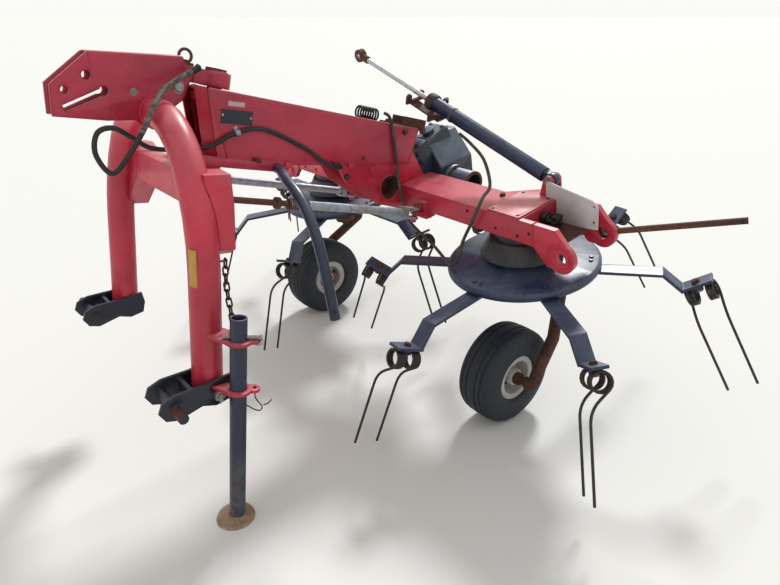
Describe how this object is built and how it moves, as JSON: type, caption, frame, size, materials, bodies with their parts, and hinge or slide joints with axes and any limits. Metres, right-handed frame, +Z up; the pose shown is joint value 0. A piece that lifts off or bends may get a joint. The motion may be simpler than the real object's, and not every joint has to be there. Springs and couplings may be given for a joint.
{
  "type": "hay tedder centre section",
  "caption": "Centre section of a mounted rotary hay tedder with two tined rotors on small wheels, a swivelling headstock and a parking stand.",
  "frame": {"origin": "on the ground under the middle of the whole part", "axes": "+X forward to the tractor, +Y to the machine's left, +Z up"},
  "size_m": [2.1732, 2.6703, 1.3214],
  "materials": {
    "faded_red_paint": "faded gloss paint",
    "pale_red_paint": "chalky faded paint",
    "pale_grey_paint": "dusty paint",
    "dark_blue_paint": "dull paint",
    "black_paint": "worn gloss paint",
    "pale_rim_paint": "dirty paint",
    "grey_cast_iron": "painted casting",
    "dark_cast_iron": "oily casting",
    "rusty_steel": "rust",
    "black_steel": "oiled steel",
    "dull_spring_steel": "weathered spring steel",
    "galvanised_steel": "dull zinc",
    "chromed_steel": "chromed",
    "tyre_rubber": "dusty rubber",
    "hose_rubber": "satin rubber",
    "cable_plastic": "matte jacket"
  },
  "bodies": {
    "frame": {"main_beam": "faded_red_paint", "centre_box": "faded_red_paint", "gearbox": "grey_cast_iron", "cross_beam_left": "faded_red_paint", "cross_beam_right": "faded_red_paint", "cover_plate_left": "pale_red_paint", "cover_plate_right": "pale_red_paint", "hub_left": "dark_cast_iron", "hub_right": "dark_cast_iron", "joint_guard": "pale_grey_paint", "guard_tube": "dark_blue_paint", "rear_bar": "rusty_steel", "cylinder_rest": "rusty_steel", "beam_spring": "black_steel", "wheel_leg_left": "rusty_steel", "wheel_leg_right": "rusty_steel", "hydraulic_hose": "hose_rubber", "looped_cable": "cable_plastic"},
    "headstock": {"headstock_leg_left": "faded_red_paint", "headstock_leg_right": "faded_red_paint", "crossbar": "faded_red_paint", "top_link_plates": "faded_red_paint", "swivel_pin": "rusty_steel", "hitch_bracket_left": "black_paint", "hitch_bracket_right": "black_paint", "lifting_ring": "rusty_steel", "stand_chain": "dull_spring_steel"},
    "stand": {"stand_leg": "dark_blue_paint"},
    "rotor_left": {"rotor_disc_left": "dark_blue_paint", "rotor_arms_left": "dark_blue_paint", "tines_left": "dull_spring_steel"},
    "rotor_right": {"rotor_disc_right": "dark_blue_paint", "rotor_arms_right": "dark_blue_paint", "tines_right": "dull_spring_steel"},
    "wheel_left": {"rim_left": "pale_rim_paint", "tyre_left": "tyre_rubber"},
    "wheel_right": {"rim_right": "pale_rim_paint", "tyre_right": "tyre_rubber"},
    "strut_tube_left": {"strut_tube_left": "galvanised_steel"},
    "strut_tube_right": {"strut_tube_right": "galvanised_steel"},
    "strut_rod_left": {"strut_rod_left": "rusty_steel"},
    "strut_rod_right": {"strut_rod_right": "rusty_steel"},
    "cylinder_barrel": {"cylinder_barrel": "dark_blue_paint"},
    "cylinder_rod": {"cylinder_rod": "chromed_steel"}
  },
  "joints": [
    {"name": "headstock_swivel", "type": "hinge", "parent": "frame", "child": "headstock", "pos_m": [0.64055, 0.03078, 1.08548], "axis": [-0.2419, 0, 0.9703], "range_deg": [-8, 8]},
    {"name": "rotor_left_spin", "type": "hinge", "parent": "frame", "child": "rotor_left", "pos_m": [-0.25123, 0.60578, 0.541], "axis": [0.184, 0, 0.9829], "continuous": true},
    {"name": "rotor_right_spin", "type": "hinge", "parent": "frame", "child": "rotor_right", "pos_m": [-0.25123, -0.54422, 0.541], "axis": [0.184, 0, 0.9829], "continuous": true},
    {"name": "wheel_left_spin", "type": "hinge", "parent": "frame", "child": "wheel_left", "pos_m": [-0.14423, 0.64278, 0.185], "axis": [0, 1, 0], "continuous": true},
    {"name": "wheel_right_spin", "type": "hinge", "parent": "frame", "child": "wheel_right", "pos_m": [-0.14423, -0.58122, 0.185], "axis": [0, 1, 0], "continuous": true},
    {"name": "stand_slide", "type": "slide", "parent": "headstock", "child": "stand", "axis": [-0.1149, 0, 0.9934], "range_m": [0, 0.3]},
    {"name": "strut_left_swing", "type": "hinge", "parent": "frame", "child": "strut_tube_left", "pos_m": [-0.04702, 0.23078, 0.72236], "axis": [-0.2419, 0, 0.9703], "range_deg": [-1, 1]},
    {"name": "strut_right_swing", "type": "hinge", "parent": "frame", "child": "strut_tube_right", "pos_m": [-0.04702, -0.16922, 0.72236], "axis": [-0.2419, 0, 0.9703], "range_deg": [-1, 1]},
    {"name": "strut_left_slide", "type": "slide", "parent": "strut_tube_left", "child": "strut_rod_left", "axis": [0.9703, 0, 0.2419], "range_m": [-0.03, 0.03]},
    {"name": "strut_right_slide", "type": "slide", "parent": "strut_tube_right", "child": "strut_rod_right", "axis": [0.9703, 0, 0.2419], "range_m": [-0.03, 0.03]},
    {"name": "cylinder_swing", "type": "hinge", "parent": "frame", "child": "cylinder_barrel", "pos_m": [-0.28213, 0.66578, 0.89777], "axis": [-0.9829, 0, 0.184], "range_deg": [0, 60]},
    {"name": "cylinder_rod_slide", "type": "slide", "parent": "cylinder_barrel", "child": "cylinder_rod", "axis": [0.0629, -0.9397, 0.3362], "range_m": [-0.36, 0]}
  ],
  "couplings": [
    {"joint": "rotor_right_spin", "follows": "rotor_left_spin", "ratio": -1},
    {"joint": "strut_left_swing", "follows": "headstock_swivel", "ratio": 0.056},
    {"joint": "strut_right_swing", "follows": "headstock_swivel", "ratio": 0.056},
    {"joint": "strut_left_slide", "follows": "headstock_swivel", "m_per_rad": -0.2},
    {"joint": "strut_right_slide", "follows": "headstock_swivel", "m_per_rad": 0.2}
  ]
}
